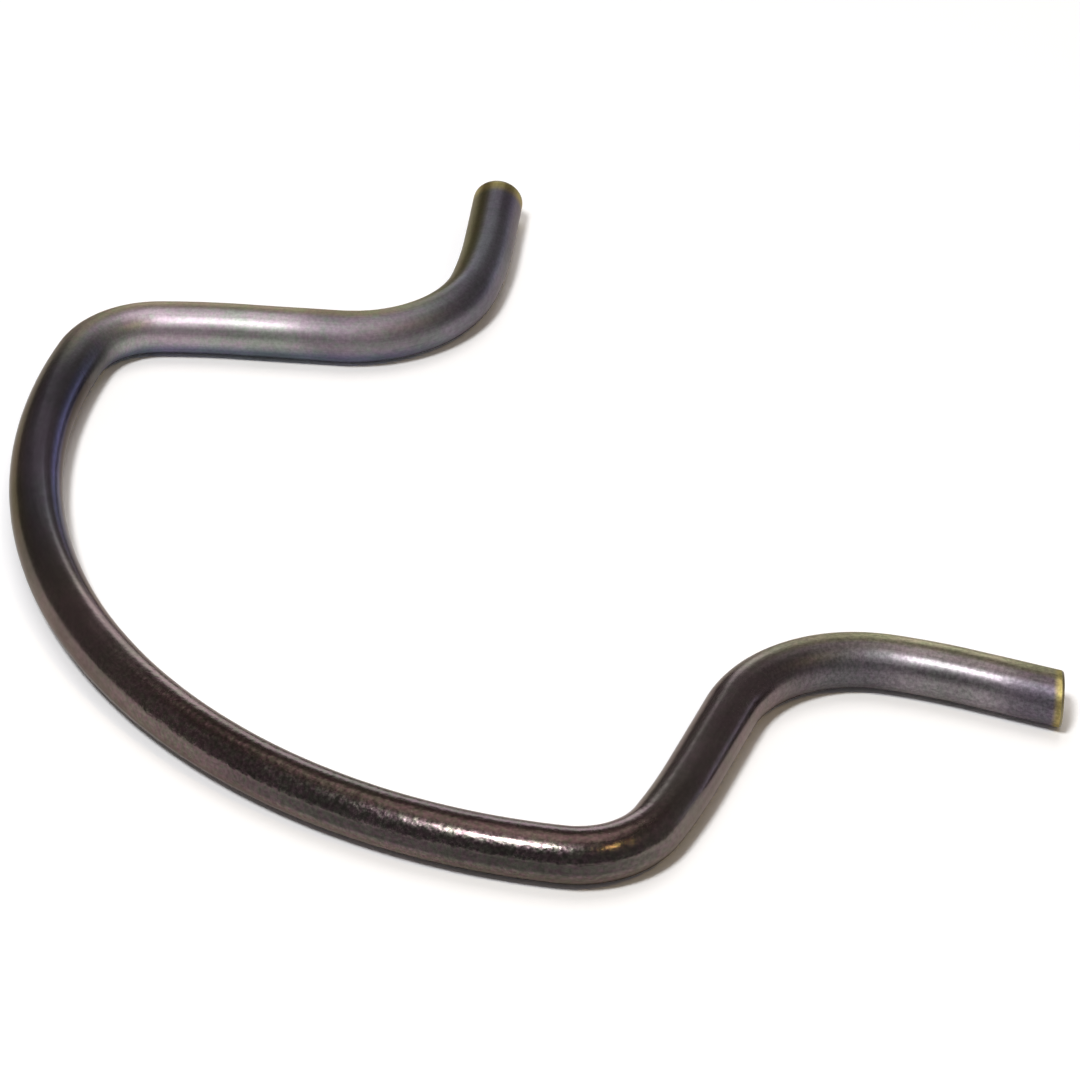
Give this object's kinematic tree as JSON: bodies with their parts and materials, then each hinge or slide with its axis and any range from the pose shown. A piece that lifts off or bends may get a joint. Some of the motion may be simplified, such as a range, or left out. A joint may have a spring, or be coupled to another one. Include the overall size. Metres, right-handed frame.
{
  "type": "boot retaining clip",
  "caption": "Round spring wire bent flat into an open hoop: a long bow grips a rubber boot's collar, and two legs turn out into straight tips for opening it.",
  "frame": {"origin": "on the axis of the bow, which is the axis of the collar it grips, in the middle plane of the wire", "axes": "+X across the clip towards the sheared tip, +Y from the bow towards the mouth, +Z square to the plane of the wire"},
  "size_m": [0.0588, 0.0446, 0.003],
  "materials": {
    "spring_steel": "oil-tempered spring wire: dark brown-black heat scale with a satin sheen, faint straw and blue temper colours and small rubbed spots"
  },
  "bodies": {
    "root": {"retaining_clip": "spring_steel"}
  },
  "joints": []
}
